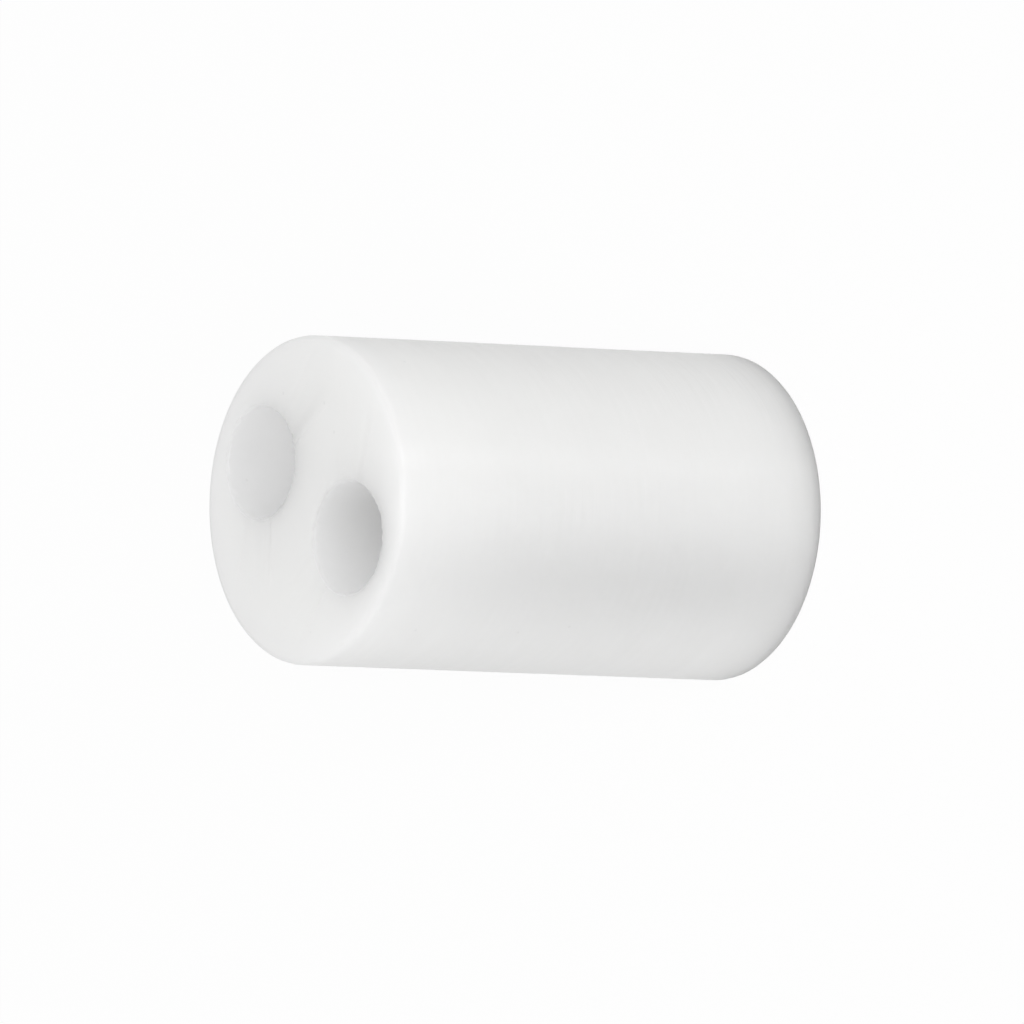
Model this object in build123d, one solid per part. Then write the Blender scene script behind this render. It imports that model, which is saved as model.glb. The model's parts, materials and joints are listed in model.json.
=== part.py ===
from build123d import *
import os

# Spacer sleeve for a light-emitting diode with two leads. The sleeve stands upright on a circuit
# board, the diode's leads pass down its two lengthwise holes into the board, and the diode's base
# rests on the upper end, one sleeve length above the board.
#
# The sleeve is one piece of natural nylon. It stands on its lower end, with its axis along +Z and
# the two holes side by side along X. The origin is the centre of the lower end. Sizes are in mm.

# Driving dimensions
body_length = 8.0         # from end to end: how far the diode stands off the board
lead_pitch = 2.54         # between the axes of the two lead holes, the pitch of the diode's leads
lead_hole_diameter = 1.7  # one lead and its stamped shoulder pass with room to spare
outer_wall = 0.38         # thinnest wall, between a lead hole and the outside
rim_round = 0.10          # radius on the outer edge of each end
mouth_break = 0.04        # small chamfer on both mouths of each lead hole

# Sizes that follow from them
body_diameter = lead_pitch + lead_hole_diameter + 2 * outer_wall


def outer_body():
    """The plain round bar that the sleeve is made from, with both outer edges rounded."""
    bar = Cylinder(
        radius=body_diameter / 2,
        height=body_length,
        align=(Align.CENTER, Align.CENTER, Align.MIN),
    )
    return fillet(bar.edges().filter_by(GeomType.CIRCLE), rim_round)


def lead_hole(side):
    """What is cut away for the lead hole on one side, -1 or +1, with its two chamfered mouths."""
    hole_radius = lead_hole_diameter / 2
    mouth_radius = hole_radius + mouth_break
    profile = Polyline(
        (0, 0),
        (mouth_radius, 0),
        (hole_radius, mouth_break),
        (hole_radius, body_length - mouth_break),
        (mouth_radius, body_length),
        (0, body_length),
        close=True,
    )
    cutter = revolve(Plane.XZ * make_face(profile), Axis.Z)
    return Pos(side * lead_pitch / 2, 0, 0) * cutter


def spacer_sleeve():
    """The whole sleeve: the round body less its two lead holes."""
    return outer_body() - lead_hole(-1) - lead_hole(+1)


os.makedirs("parts", exist_ok=True)
export_step(spacer_sleeve(), "parts/spacer_sleeve.step")
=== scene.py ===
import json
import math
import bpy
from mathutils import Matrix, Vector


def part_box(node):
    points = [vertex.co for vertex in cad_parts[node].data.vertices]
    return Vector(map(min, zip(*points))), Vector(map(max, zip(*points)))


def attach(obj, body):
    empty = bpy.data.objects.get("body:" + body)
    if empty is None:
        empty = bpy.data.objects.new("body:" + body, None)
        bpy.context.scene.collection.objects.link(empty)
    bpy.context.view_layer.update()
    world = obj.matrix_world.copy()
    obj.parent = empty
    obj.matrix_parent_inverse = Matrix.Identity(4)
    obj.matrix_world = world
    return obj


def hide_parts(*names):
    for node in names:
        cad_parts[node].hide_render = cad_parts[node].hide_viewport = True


bl_info = {
    "name": "Led spacer sleeve",
    "version": (1, 0, 0),
    "blender": (4, 5, 0),
    "location": "3D View > Sidebar > Spacer sleeve",
    "description": "Models a turned nylon spacer sleeve with two lead holes, and sets its stage",
    "category": "Add Mesh",
}

import bmesh
import bpy
from bpy.props import FloatProperty, FloatVectorProperty, PointerProperty
from mathutils import Matrix, Vector

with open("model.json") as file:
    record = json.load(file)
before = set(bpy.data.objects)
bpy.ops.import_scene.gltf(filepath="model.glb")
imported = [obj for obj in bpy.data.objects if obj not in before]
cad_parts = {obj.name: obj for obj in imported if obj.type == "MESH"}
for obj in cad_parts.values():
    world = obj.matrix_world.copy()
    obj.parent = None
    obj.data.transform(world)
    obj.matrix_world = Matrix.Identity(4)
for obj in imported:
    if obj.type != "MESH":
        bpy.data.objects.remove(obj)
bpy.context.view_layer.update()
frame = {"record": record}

MM = 0.001
MICRON = 0.000001
NODE = "spacer_sleeve"
LOW_CORNER, HIGH_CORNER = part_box(NODE)
LEAD_HOLES = [mount for mount in frame["record"]["mounts"] if mount["kind"] == "bore"]
HOLE_WALL_LENGTH = LEAD_HOLES[0]["dims"]["length_mm"] * MM

# How finely the sleeve is divided. A ring of faces joins each hole to its half of the end face,
# so the steps round a hole are those round half the rim and along the web's middle line together.
RIM_STEPS = 144
WEB_STEPS = 32
HOLE_STEPS = RIM_STEPS // 2 + WEB_STEPS
END_RINGS = 7
SIDE_STEPS = 84
HOLE_DEPTH_STEPS = 34
ROUND_STEPS = 4

CENTRED = 0.5
HAIR = 0.001 * MM

# The finer marks. A band is a group of ridges, and its frequency is a share of theirs. A speck's
# radius is a share of the specks' spacing. Ripples reach this far round before they change.
BAND_FREQUENCY = 0.28
GRAIN_SIZE = 0.06 * MM
SPECK_SPACING = 0.8 * MM
SPECK_RADIUS = 0.035
RIPPLE_REACH = 3.5 * MM
BURR_SPACING = 0.2 * MM
BURR_CONTRAST = 2.5

# Places of the finishes in the sleeve's material list, after the turned side.
FACED = 1
DRILLED = 2

# Of the camera and the floor.
SENSOR_WIDTH = 36.0
NEAREST_VIEW = 10 * MM
FRAMING_SHIFT = (-0.0034, -0.0031)
FLOOR_WIDTH = 4.0
FLOOR_WHITE_SHARE = 0.93
FLOOR_COLOUR = (0.95, 0.95, 0.95, 1.0)
WHITE = (1.0, 1.0, 1.0, 1.0)


class SleeveSizes(bpy.types.PropertyGroup):
    """Sizes of the sleeve and of the marks that turning and drilling leave on it"""

    length: FloatProperty(
        name="Length", description="From end to end, along the axis",
        default=HIGH_CORNER.z - LOW_CORNER.z, min=MM, unit="LENGTH", precision=5)
    radius: FloatProperty(
        name="Radius", description="From the axis to the turned side",
        default=(HIGH_CORNER.x - LOW_CORNER.x) / 2, min=MM, unit="LENGTH", precision=5)
    hole_radius: FloatProperty(
        name="Hole radius", description="Of each lead hole",
        default=LEAD_HOLES[0]["dims"]["r_mm"] * MM, min=0.1 * MM, unit="LENGTH", precision=5)
    hole_offset: FloatProperty(
        name="Hole offset", description="From the sleeve's axis to the axis of each lead hole",
        default=abs(LEAD_HOLES[0]["pos_m"][0]), min=0.1 * MM, unit="LENGTH", precision=5)
    rim_round: FloatProperty(
        name="Rim round", description="Radius on the outer edge of each end",
        default=0.10 * MM, min=0.01 * MM, unit="LENGTH", precision=6)
    mouth_break: FloatProperty(
        name="Mouth break", description="How far the edge of each hole's mouth is broken",
        default=(HIGH_CORNER.z - LOW_CORNER.z - HOLE_WALL_LENGTH) / 2,
        min=0.01 * MM, unit="LENGTH", precision=6)
    ripple_height: FloatProperty(
        name="Ripple height",
        description="From the bottom to the top of the ripples that turning leaves",
        default=9 * MICRON, min=0.0, unit="LENGTH", precision=6)
    ripple_pitch: FloatProperty(
        name="Ripple pitch", description="Distance along the axis over which the ripples come and go",
        default=0.28 * MM, min=0.05 * MM, unit="LENGTH", precision=6)
    burr_height: FloatProperty(
        name="Burr height", description="How far the torn edge of a hole's mouth stands up at most",
        default=26 * MICRON, min=0.0, unit="LENGTH", precision=6)


class NylonFinish(bpy.types.PropertyGroup):
    """Colour and gloss of the uncoloured nylon, and the whiter hole-wall colour that is painted light"""

    colour: FloatVectorProperty(
        name="Colour", description="Of thick uncoloured nylon in plain light",
        subtype="COLOR", size=3, min=0.0, max=1.0, default=(0.90, 0.90, 0.89))
    # Painted light: the hole walls get a whiter colour than the nylon, which lifts the shade inside the
    # holes.
    hole_colour_with_painted_light: FloatVectorProperty(
        name="Hole colour, painted light", description="Of the hole walls, whiter than the nylon: painted light that lifts the shade inside the holes",
        subtype="COLOR", size=3, min=0.0, max=1.0, default=(0.99, 0.99, 0.985))
    roughness: FloatProperty(
        name="Roughness", description="Of the turned side, between its tool marks",
        subtype="FACTOR", min=0.0, max=1.0, default=0.42)
    depth: FloatProperty(
        name="Light depth", description="How far light travels inside the nylon before it scatters",
        default=1.6 * MM, min=0.0, unit="LENGTH", precision=5)
    drilled_depth: FloatProperty(
        name="Drilled light depth", description="The same, for light that comes out of a hole's wall",
        default=5 * MM, min=0.0, unit="LENGTH", precision=5)


class StageSettings(bpy.types.PropertyGroup):
    """Where the camera stands and how strong the light is"""

    view_azimuth: FloatProperty(
        name="View azimuth", description="Direction of the camera, turned from +X towards +Y",
        subtype="ANGLE", default=math.radians(25.0))
    view_elevation: FloatProperty(
        name="View elevation", description="Height of the camera over the floor, as an angle",
        subtype="ANGLE", default=math.radians(36.8))
    view_roll: FloatProperty(
        name="View roll",
        description="How far the camera lies over, so that the sleeve's upper end is on the left",
        subtype="ANGLE", default=math.radians(87.6))
    view_distance: FloatProperty(
        name="View distance", description="From the camera to the middle of the sleeve",
        default=340 * MM, min=50 * MM, unit="LENGTH")
    view_width: FloatProperty(
        name="View width",
        description="How much of the plane through the sleeve's middle the picture spans",
        default=15.61 * MM, min=MM, unit="LENGTH", precision=5)
    front_power: FloatProperty(
        name="Front power", description="Of the soft lamp beside the camera", unit="POWER",
        default=0.24, min=0.0)
    strip_power: FloatProperty(
        name="Strip power", description="Of the tall narrow lamp that draws a streak along the sleeve",
        unit="POWER", default=0.085, min=0.0)
    fill_power: FloatProperty(
        name="Fill power", description="Of the low lamp that lights the sleeve's side", unit="POWER",
        default=0.06, min=0.0)
    surround: FloatProperty(
        name="Surround", description="Strength of the even light from all round", default=0.70, min=0.0)


def deselect_all():
    """Leave nothing selected, the carried-over model included."""
    for thing in list(bpy.context.selected_objects):
        thing.select_set(False)


def pick(piece, kind, wanted):
    """In edit mode, select only the verts, edges or faces for which wanted(part) is true."""
    bpy.ops.mesh.select_mode(type={"verts": "VERT", "edges": "EDGE", "faces": "FACE"}[kind])
    bpy.ops.mesh.select_all(action="DESELECT")
    shape = bmesh.from_edit_mesh(piece.data)
    for part in getattr(shape, kind):
        if wanted(part):
            part.select_set(True)
    shape.select_flush_mode()
    bmesh.update_edit_mesh(piece.data)


def apply_modifier(piece, kind, **settings):
    """Add a modifier to the piece with these settings, and apply it."""
    modifier = piece.modifiers.new(kind.lower(), kind)
    for name, value in settings.items():
        setattr(modifier, name, value)
    bpy.ops.object.modifier_apply(modifier=modifier.name)


def from_axis(place):
    """Distance of a place from the sleeve's axis."""
    return math.hypot(place.x, place.y)


def from_hole(place, sizes):
    """Distance of a place from the axis of the nearer lead hole."""
    return math.hypot(abs(place.x) - sizes.hole_offset, place.y)


def to_end(place, sizes):
    """Distance of a place from the nearer end, on the finished sleeve."""
    return min(place.z, sizes.length - place.z)


def lies_on_end(edge, sizes):
    """Whether an edge lies in an end face, while the sleeve is still centred on the origin."""
    return all(abs(vert.co.z) > sizes.length / 2 - HAIR for vert in edge.verts)


def lies_on_side(edge, sizes):
    """Whether both ends of an edge are as far from the axis as the turned side is."""
    return min(from_axis(vert.co) for vert in edge.verts) > sizes.radius - HAIR


def add_half_end(sizes):
    """Half an end face: faces from a lead hole out to half the rim and the middle line."""
    bpy.ops.mesh.primitive_circle_add(vertices=RIM_STEPS, radius=sizes.radius)
    sleeve = bpy.context.object
    bpy.ops.object.mode_set(mode="EDIT")
    pick(sleeve, "verts", lambda vert: vert.co.x < -HAIR)
    bpy.ops.mesh.delete(type="VERT")
    pick(sleeve, "verts", lambda vert: vert.co.x < HAIR)
    bpy.ops.mesh.edge_face_add()
    bpy.ops.mesh.subdivide(number_cuts=WEB_STEPS - 1)
    bpy.ops.mesh.primitive_circle_add(
        vertices=HOLE_STEPS, radius=sizes.hole_radius, location=(sizes.hole_offset, 0, 0))
    bpy.ops.mesh.select_all(action="SELECT")
    bpy.ops.mesh.bridge_edge_loops()
    bpy.ops.mesh.select_all(action="SELECT")
    bpy.ops.transform.translate(value=(0, 0, -sizes.length / 2))
    bpy.ops.object.mode_set(mode="OBJECT")
    return sleeve


def draw_out_walls(sleeve, sizes):
    """Draw the rim and both holes out from the end to mid length, and mirror that half upwards."""
    apply_modifier(sleeve, "MIRROR", use_axis=(True, False, False), use_clip=True, merge_threshold=HAIR)
    bpy.ops.object.mode_set(mode="EDIT")
    bpy.ops.mesh.select_mode(type="EDGE")
    bpy.ops.mesh.select_all(action="DESELECT")
    bpy.ops.mesh.select_non_manifold()
    bpy.ops.mesh.extrude_region_move(TRANSFORM_OT_translate={"value": (0, 0, sizes.length / 2)})
    bpy.ops.object.mode_set(mode="OBJECT")
    apply_modifier(sleeve, "MIRROR", use_axis=(False, False, True), merge_threshold=HAIR)
    bpy.ops.object.mode_set(mode="EDIT")
    bpy.ops.mesh.select_all(action="SELECT")
    bpy.ops.mesh.remove_doubles(threshold=HAIR)
    bpy.ops.mesh.normals_make_consistent(inside=False)


def round_edges(sleeve, sizes):
    """Round the rim of each end and break the mouths of the holes."""
    pick(sleeve, "edges", lambda edge: lies_on_end(edge, sizes) and lies_on_side(edge, sizes))
    bpy.ops.mesh.bevel(offset=sizes.rim_round, segments=ROUND_STEPS, profile=CENTRED, affect="EDGES")
    pick(sleeve, "edges", lambda edge: lies_on_end(edge, sizes) and all(
        abs(from_hole(vert.co, sizes) - sizes.hole_radius) < HAIR for vert in edge.verts))
    bpy.ops.mesh.bevel(offset=sizes.mouth_break, segments=ROUND_STEPS, profile=CENTRED, affect="EDGES")


def divide_faces(sleeve, sizes):
    """Divide the ends into rings and the walls along their length, finely enough for tool marks."""
    mouth = sizes.hole_radius + sizes.mouth_break + HAIR

    def leaves_mouth(edge):
        return sum(from_hole(vert.co, sizes) < mouth for vert in edge.verts) == 1

    def upright(edge):
        return abs(edge.verts[0].co.z - edge.verts[1].co.z) > sizes.length / 4

    pick(sleeve, "edges", lambda edge: lies_on_end(edge, sizes) and leaves_mouth(edge))
    bpy.ops.mesh.subdivide(number_cuts=END_RINGS - 1)
    pick(sleeve, "edges", lambda edge: upright(edge) and lies_on_side(edge, sizes))
    bpy.ops.mesh.subdivide(number_cuts=SIDE_STEPS)
    pick(sleeve, "edges", lambda edge: upright(edge) and not lies_on_side(edge, sizes))
    bpy.ops.mesh.subdivide(number_cuts=HOLE_DEPTH_STEPS)
    bpy.ops.mesh.select_all(action="SELECT")
    bpy.ops.transform.translate(value=(0, 0, sizes.length / 2))
    bpy.ops.object.mode_set(mode="OBJECT")


def mark_region(sleeve, name, wanted):
    """Name the verts of one worked surface, for the marks that its tool leaves there."""
    region = sleeve.vertex_groups.new(name=name)
    region.add([vert.index for vert in sleeve.data.vertices if wanted(vert.co)], 1.0, "REPLACE")
    return region.name


def roughen(sleeve, region, spacing, height, texture_kind="CLOUDS", **settings):
    """Raise and lower a region by a texture whose spacing is set apart along X, Y and Z."""
    texture = bpy.data.textures.new(region + "_marks", texture_kind)
    for name, value in settings.items():
        setattr(texture, name, value)
    grid = bpy.data.objects.new(region + "_grid", None)
    bpy.context.collection.objects.link(grid)
    grid.scale = spacing
    bpy.context.view_layer.update()
    apply_modifier(
        sleeve, "DISPLACE", texture=texture, texture_coords="OBJECT", texture_coords_object=grid,
        vertex_group=region, strength=height, mid_level=CENTRED, direction="NORMAL")
    bpy.data.objects.remove(grid)
    bpy.data.textures.remove(texture)


def leave_tool_marks(sleeve, sizes):
    """Ripples round the side and the hole walls, and torn hole mouths."""
    side = mark_region(sleeve, "side", lambda place: (
        from_axis(place) > sizes.radius - HAIR
        and to_end(place, sizes) > sizes.rim_round + HAIR))
    walls = mark_region(sleeve, "hole_walls", lambda place: (
        from_hole(place, sizes) < sizes.hole_radius + HAIR
        and to_end(place, sizes) > sizes.mouth_break + HAIR))
    mouths = mark_region(sleeve, "mouths", lambda place: (
        to_end(place, sizes) < sizes.mouth_break + HAIR
        and from_hole(place, sizes) < sizes.hole_radius + sizes.mouth_break + HAIR))
    roughen(sleeve, side, (RIPPLE_REACH, RIPPLE_REACH, sizes.ripple_pitch), sizes.ripple_height)
    roughen(sleeve, walls, (MM, MM, 1.5 * sizes.ripple_pitch), sizes.ripple_height)
    roughen(
        sleeve, mouths, (BURR_SPACING, BURR_SPACING, BURR_SPACING), sizes.burr_height,
        contrast=BURR_CONTRAST)


class SLEEVE_OT_make_sleeve(bpy.types.Operator):
    """Model the sleeve, with its turned side, faced ends and drilled lead holes"""

    bl_idname = "sleeve.make_sleeve"
    bl_label = "Make sleeve"

    def execute(self, context):
        sizes = context.scene.sleeve_sizes
        deselect_all()
        sleeve = add_half_end(sizes)
        sleeve.name = "nylon_sleeve"
        draw_out_walls(sleeve, sizes)
        round_edges(sleeve, sizes)
        divide_faces(sleeve, sizes)
        finish_surfaces(sleeve, sizes, context.scene.nylon_finish)
        leave_tool_marks(sleeve, sizes)
        bpy.ops.object.shade_smooth()
        apply_modifier(sleeve, "WEIGHTED_NORMAL", weight=100, keep_sharp=False)
        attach(sleeve, "root")
        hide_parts(NODE)
        return {"FINISHED"}


def new_group(name, inputs, outputs):
    """An empty node group with float, vector and colour sockets, and its input and output nodes."""
    group = bpy.data.node_groups.new(name, "ShaderNodeTree")
    for socket, kind, value in inputs:
        made = group.interface.new_socket(name=socket, in_out="INPUT", socket_type=kind)
        if value is not None:
            made.default_value = value
    for socket, kind in outputs:
        group.interface.new_socket(name=socket, in_out="OUTPUT", socket_type=kind)
    return group, group.nodes.new("NodeGroupInput"), group.nodes.new("NodeGroupOutput")


def math_node(nodes, links, operation, first, second, clamp=False):
    """A Math node on two values, each a socket or a plain number."""
    node = nodes.new("ShaderNodeMath")
    node.operation = operation
    node.use_clamp = clamp
    for socket, value in zip(node.inputs, (first, second)):
        if isinstance(value, bpy.types.NodeSocket):
            links.new(value, socket)
        else:
            socket.default_value = value
    return node.outputs["Value"]


def tool_marks_group():
    """Fine ridges that a tool leaves: close together along its travel, and long the other way."""
    group, given, result = new_group(
        "tool_marks",
        (("Place", "NodeSocketVector", None), ("Travel", "NodeSocketFloat", 0.0),
         ("Pitch", "NodeSocketFloat", 0.1 * MM), ("Length", "NodeSocketFloat", 3 * MM),
         ("Grain", "NodeSocketFloat", 0.3)),
        (("Ridges", "NodeSocketFloat"), ("Bands", "NodeSocketFloat")))
    nodes, links = group.nodes, group.links
    stretch = nodes.new("ShaderNodeVectorMath")
    stretch.operation = "DIVIDE"
    length = nodes.new("ShaderNodeCombineXYZ")
    for axis in ("X", "Y", "Z"):
        links.new(given.outputs["Length"], length.inputs[axis])
    links.new(given.outputs["Place"], stretch.inputs[0])
    links.new(length.outputs["Vector"], stretch.inputs[1])
    step = math_node(nodes, links, "DIVIDE", given.outputs["Travel"], given.outputs["Pitch"])
    along = nodes.new("ShaderNodeCombineXYZ")
    links.new(step, along.inputs["Z"])
    place = nodes.new("ShaderNodeVectorMath")
    place.operation = "ADD"
    links.new(stretch.outputs["Vector"], place.inputs[0])
    links.new(along.outputs["Vector"], place.inputs[1])
    ridges = nodes.new("ShaderNodeTexNoise")
    ridges.inputs["Scale"].default_value = 1.0
    ridges.inputs["Detail"].default_value = 3.0
    links.new(place.outputs["Vector"], ridges.inputs["Vector"])
    bands = nodes.new("ShaderNodeTexNoise")
    bands.inputs["Scale"].default_value = BAND_FREQUENCY
    bands.inputs["Detail"].default_value = 1.0
    links.new(place.outputs["Vector"], bands.inputs["Vector"])
    grain = nodes.new("ShaderNodeTexNoise")
    grain.inputs["Scale"].default_value = 1 / GRAIN_SIZE
    links.new(given.outputs["Place"], grain.inputs["Vector"])
    rough = math_node(nodes, links, "MULTIPLY", grain.outputs["Fac"], given.outputs["Grain"])
    total = math_node(nodes, links, "ADD", ridges.outputs["Fac"], rough)
    links.new(total, result.inputs["Ridges"])
    links.new(bands.outputs["Fac"], result.inputs["Bands"])
    return group


def clouded_colour_group():
    """Nylon's colour with soft cloudy patches and a few small dark specks."""
    group, given, result = new_group(
        "clouded_colour",
        (("Place", "NodeSocketVector", None), ("Colour", "NodeSocketColor", (0.9, 0.9, 0.9, 1.0)),
         ("Cloud size", "NodeSocketFloat", 0.9 * MM), ("Cloud depth", "NodeSocketFloat", 0.04),
         ("Speck depth", "NodeSocketFloat", 0.05)),
        (("Colour", "NodeSocketColor"),))
    nodes, links = group.nodes, group.links
    scale = math_node(nodes, links, "DIVIDE", 1.0, given.outputs["Cloud size"])
    clouds = nodes.new("ShaderNodeTexNoise")
    clouds.inputs["Detail"].default_value = 4.0
    links.new(given.outputs["Place"], clouds.inputs["Vector"])
    links.new(scale, clouds.inputs["Scale"])
    dimmed = math_node(nodes, links, "MULTIPLY", clouds.outputs["Fac"], given.outputs["Cloud depth"])
    cells = nodes.new("ShaderNodeTexVoronoi")
    cells.inputs["Scale"].default_value = 1 / SPECK_SPACING
    links.new(given.outputs["Place"], cells.inputs["Vector"])
    specks = math_node(nodes, links, "LESS_THAN", cells.outputs["Distance"], SPECK_RADIUS)
    spots = math_node(nodes, links, "MULTIPLY", specks, given.outputs["Speck depth"])
    loss = math_node(nodes, links, "ADD", dimmed, spots)
    kept = math_node(nodes, links, "SUBTRACT", 1.0, loss)
    tint = nodes.new("ShaderNodeVectorMath")
    tint.operation = "SCALE"
    links.new(given.outputs["Colour"], tint.inputs[0])
    links.new(kept, tint.inputs["Scale"])
    links.new(tint.outputs["Vector"], result.inputs["Colour"])
    return group


def nylon(
        name, depth, colour, travel, pitch, length, ridge_height, roughness, band_share,
        stretch=0.0):
    """Translucent nylon with one tool's marks. The tool travels along the axis, or out from it."""
    material = bpy.data.materials.new(name)
    material.use_nodes = True
    nodes, links = material.node_tree.nodes, material.node_tree.links
    shader = nodes["Principled BSDF"]
    where = nodes.new("ShaderNodeTexCoord")
    parts = nodes.new("ShaderNodeSeparateXYZ")
    links.new(where.outputs["Object"], parts.inputs["Vector"])
    marks = nodes.new("ShaderNodeGroup")
    marks.node_tree = bpy.data.node_groups["tool_marks"]
    marks.inputs["Pitch"].default_value = pitch
    marks.inputs["Length"].default_value = length
    links.new(where.outputs["Object"], marks.inputs["Place"])
    if travel == "along the axis":
        links.new(parts.outputs["Z"], marks.inputs["Travel"])
    else:
        flat = nodes.new("ShaderNodeVectorMath")
        flat.operation = "MULTIPLY"
        flat.inputs[1].default_value = (1.0, 1.0, 0.0)
        out = nodes.new("ShaderNodeVectorMath")
        out.operation = "LENGTH"
        links.new(where.outputs["Object"], flat.inputs[0])
        links.new(flat.outputs["Vector"], out.inputs[0])
        links.new(out.outputs["Value"], marks.inputs["Travel"])
    clouded = nodes.new("ShaderNodeGroup")
    clouded.node_tree = bpy.data.node_groups["clouded_colour"]
    clouded.inputs["Colour"].default_value = (*colour, 1.0)
    links.new(where.outputs["Object"], clouded.inputs["Place"])
    links.new(clouded.outputs["Colour"], shader.inputs["Base Color"])
    bands = math_node(nodes, links, "MULTIPLY_ADD", marks.outputs["Bands"], band_share)
    bands.node.inputs[2].default_value = roughness - band_share / 2
    links.new(bands, shader.inputs["Roughness"])
    bump = nodes.new("ShaderNodeBump")
    bump.inputs["Distance"].default_value = ridge_height
    links.new(marks.outputs["Ridges"], bump.inputs["Height"])
    links.new(bump.outputs["Normal"], shader.inputs["Normal"])
    shader.inputs["IOR"].default_value = 1.53
    shader.inputs["Subsurface Weight"].default_value = 1.0
    shader.inputs["Subsurface Radius"].default_value = (1.0, 1.0, 1.0)
    shader.inputs["Subsurface Scale"].default_value = depth
    if stretch:
        tangent = nodes.new("ShaderNodeTangent")
        tangent.direction_type = "RADIAL"
        tangent.axis = "Z"
        links.new(tangent.outputs["Tangent"], shader.inputs["Tangent"])
        shader.inputs["Anisotropic"].default_value = stretch
        shader.inputs["Anisotropic Rotation"].default_value = 0.25
    return material


def finish_surfaces(sleeve, sizes, finish):
    """Give the turned side, the faced ends and the drilled holes each their own finish."""
    tool_marks_group()
    clouded_colour_group()
    sleeve.data.materials.append(nylon(
        "turned_side", finish.depth, finish.colour, "along the axis", pitch=0.05 * MM,
        length=4 * MM, ridge_height=2.5 * MICRON, roughness=finish.roughness, band_share=0.5,
        stretch=0.97))
    sleeve.data.materials.append(nylon(
        "faced_end", finish.depth, finish.colour, "out from the axis", pitch=0.06 * MM,
        length=2 * MM, ridge_height=2 * MICRON, roughness=finish.roughness + 0.08, band_share=0.1))
    # The hole walls take the whiter colour, painted light against the shade inside the holes.
    sleeve.data.materials.append(nylon(
        "drilled_hole", finish.drilled_depth, finish.hole_colour_with_painted_light, "along the axis",
        pitch=0.09 * MM, length=1 * MM, ridge_height=2 * MICRON,
        roughness=finish.roughness - 0.06, band_share=0.1))
    for face in sleeve.data.polygons:
        if from_hole(face.center, sizes) < sizes.hole_radius + sizes.mouth_break:
            face.material_index = DRILLED
        elif to_end(face.center, sizes) < HAIR:
            face.material_index = FACED


def direction(azimuth, elevation):
    """A unit vector, turned from +X towards +Y by the azimuth and raised by the elevation."""
    return Vector((
        math.cos(azimuth) * math.cos(elevation),
        math.sin(azimuth) * math.cos(elevation),
        math.sin(elevation)))


def add_camera(stage, middle):
    """The camera, looking down at the upper end and lying on its side."""
    back = direction(stage.view_azimuth, stage.view_elevation)
    data = bpy.data.cameras.new("camera")
    camera = bpy.data.objects.new("camera", data)
    bpy.context.collection.objects.link(camera)
    upright = back.to_track_quat("Z", "Y")
    camera.matrix_world = (
        Matrix.Translation(middle + back * stage.view_distance)
        @ upright.to_matrix().to_4x4()
        @ Matrix.Rotation(-stage.view_roll, 4, "Z"))
    data.sensor_width = SENSOR_WIDTH
    data.lens = data.sensor_width * stage.view_distance / stage.view_width
    data.clip_start = NEAREST_VIEW
    data.shift_x, data.shift_y = FRAMING_SHIFT
    bpy.context.scene.camera = camera


def add_softbox(
        name, middle, power, azimuth, elevation, distance, width, height, gloss_only=False):
    """A soft lamp that faces the sleeve from a direction in degrees, at a distance."""
    data = bpy.data.lights.new(name, "AREA")
    data.shape = "RECTANGLE"
    data.size = width
    data.size_y = height
    data.energy = power
    lamp = bpy.data.objects.new(name, data)
    bpy.context.collection.objects.link(lamp)
    towards = direction(math.radians(azimuth), math.radians(elevation))
    lamp.location = middle + towards * distance
    lamp.rotation_euler = towards.to_track_quat("Z", "Y").to_euler()
    lamp.visible_camera = False
    lamp.visible_diffuse = not gloss_only


def plain_white_rays(nodes, links):
    """1 for a ray from the camera, from gloss or through glass, and 0 for any other."""
    path = nodes.new("ShaderNodeLightPath")
    polished = math_node(
        nodes, links, "MAXIMUM", path.outputs["Is Glossy Ray"], path.outputs["Is Transmission Ray"])
    return math_node(nodes, links, "MAXIMUM", path.outputs["Is Camera Ray"], polished)


def floor_material():
    """White floor: the camera sees mostly plain white, and a little of the sleeve's shadow."""
    material = bpy.data.materials.new("white_floor")
    material.use_nodes = True
    nodes, links = material.node_tree.nodes, material.node_tree.links
    nodes.clear()
    output = nodes.new("ShaderNodeOutputMaterial")
    mix = nodes.new("ShaderNodeMixShader")
    share = math_node(nodes, links, "MULTIPLY", plain_white_rays(nodes, links), FLOOR_WHITE_SHARE)
    paint = nodes.new("ShaderNodeBsdfDiffuse")
    paint.inputs["Color"].default_value = FLOOR_COLOUR
    glow = nodes.new("ShaderNodeEmission")
    glow.inputs["Color"].default_value = WHITE
    links.new(share, mix.inputs[0])
    links.new(paint.outputs[0], mix.inputs[1])
    links.new(glow.outputs[0], mix.inputs[2])
    links.new(mix.outputs[0], output.inputs["Surface"])
    return material


def set_world(stage):
    """Even light from all round, with plain white behind the sleeve."""
    world = bpy.data.worlds.new("white_surround")
    bpy.context.scene.world = world
    world.use_nodes = True
    nodes, links = world.node_tree.nodes, world.node_tree.links
    nodes.clear()
    output = nodes.new("ShaderNodeOutputWorld")
    mix = nodes.new("ShaderNodeMixShader")
    even = nodes.new("ShaderNodeBackground")
    even.inputs["Color"].default_value = WHITE
    even.inputs["Strength"].default_value = stage.surround
    white = nodes.new("ShaderNodeBackground")
    white.inputs["Color"].default_value = WHITE
    links.new(plain_white_rays(nodes, links), mix.inputs[0])
    links.new(even.outputs[0], mix.inputs[1])
    links.new(white.outputs[0], mix.inputs[2])
    links.new(mix.outputs[0], output.inputs["Surface"])


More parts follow.
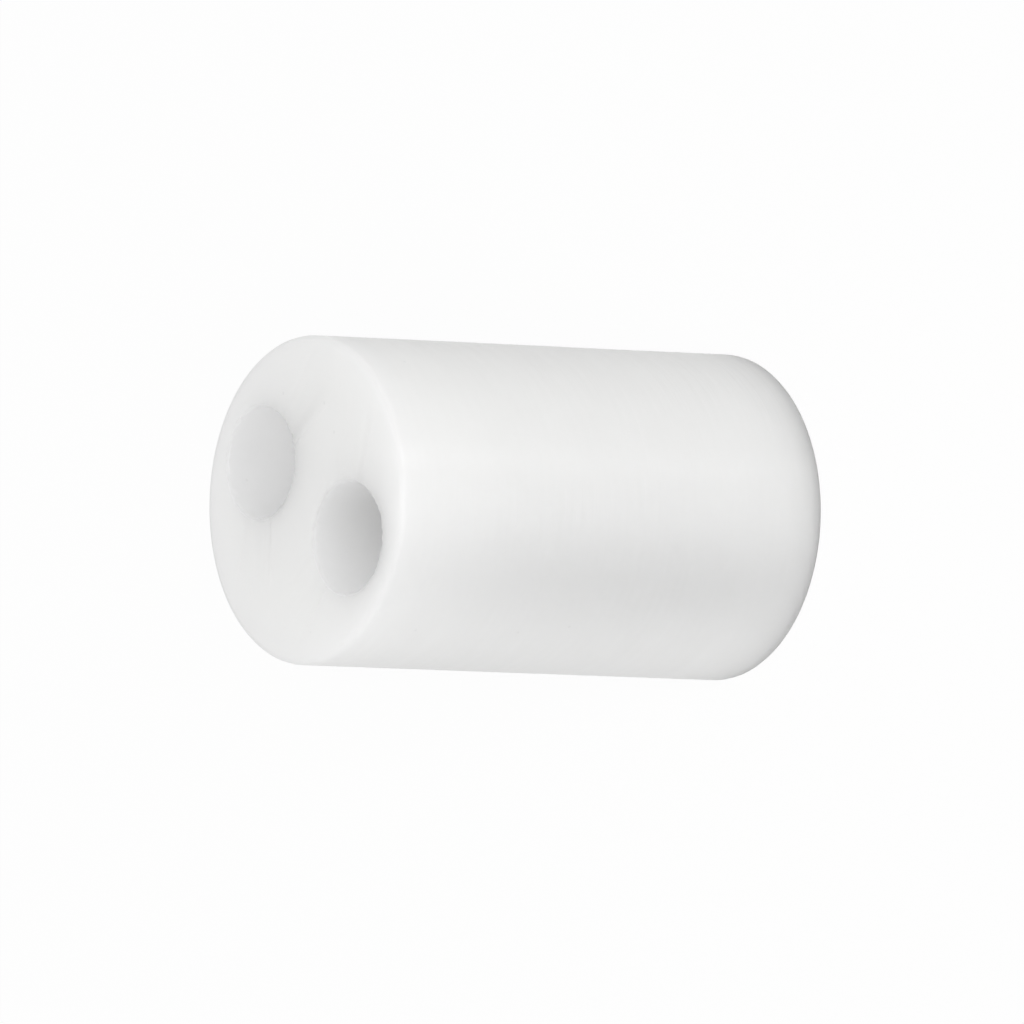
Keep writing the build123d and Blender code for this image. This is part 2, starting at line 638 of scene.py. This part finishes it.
class SLEEVE_OT_set_stage(bpy.types.Operator):
    """Set the floor, the lamps and the camera round the sleeve"""

    bl_idname = "sleeve.set_stage"
    bl_label = "Set stage"

    def execute(self, context):
        stage = context.scene.sleeve_stage
        middle = (LOW_CORNER + HIGH_CORNER) / 2
        deselect_all()
        bpy.ops.mesh.primitive_plane_add(size=FLOOR_WIDTH, location=(0, 0, LOW_CORNER.z))
        floor = context.object
        floor.name = "floor"
        floor.data.materials.append(floor_material())
        set_world(stage)
        add_softbox(
            "front_softbox", middle, stage.front_power, azimuth=24.0, elevation=40.0,
            distance=300 * MM, width=120 * MM, height=100 * MM)
        add_softbox(
            "low_fill", middle, stage.fill_power, azimuth=3.0, elevation=8.0,
            distance=300 * MM, width=150 * MM, height=80 * MM)
        add_softbox(
            "side_strip", middle, stage.strip_power, azimuth=56.0, elevation=13.0,
            distance=250 * MM, width=30 * MM, height=110 * MM, gloss_only=True)
        add_camera(stage, middle)
        context.scene.view_settings.view_transform = "Standard"
        return {"FINISHED"}


class SLEEVE_PT_panel(bpy.types.Panel):
    """Buttons for the sleeve and its stage, with their sizes"""

    bl_label = "Spacer sleeve"
    bl_idname = "SLEEVE_PT_panel"
    bl_space_type = "VIEW_3D"
    bl_region_type = "UI"
    bl_category = "Spacer sleeve"

    def draw(self, context):
        for group in (context.scene.sleeve_sizes, context.scene.nylon_finish, context.scene.sleeve_stage):
            box = self.layout.box()
            for name in group.bl_rna.properties.keys():
                if name not in ("rna_type", "name"):
                    box.prop(group, name)
        self.layout.operator("sleeve.make_sleeve")
        self.layout.operator("sleeve.set_stage")


CLASSES = (
    SleeveSizes,
    NylonFinish,
    StageSettings,
    SLEEVE_OT_make_sleeve,
    SLEEVE_OT_set_stage,
    SLEEVE_PT_panel,
)


def register():
    """Add the classes, and the settings that belong to a scene."""
    for each in CLASSES:
        bpy.utils.register_class(each)
    bpy.types.Scene.sleeve_sizes = PointerProperty(type=SleeveSizes)
    bpy.types.Scene.nylon_finish = PointerProperty(type=NylonFinish)
    bpy.types.Scene.sleeve_stage = PointerProperty(type=StageSettings)


def unregister():
    """Take away what register added."""
    del bpy.types.Scene.sleeve_stage
    del bpy.types.Scene.nylon_finish
    del bpy.types.Scene.sleeve_sizes
    for each in reversed(CLASSES):
        bpy.utils.unregister_class(each)


def main():
    """Make the sleeve and its stage."""
    register()
    bpy.ops.sleeve.make_sleeve()
    bpy.ops.sleeve.set_stage()


if __name__ == "__main__":
    main()
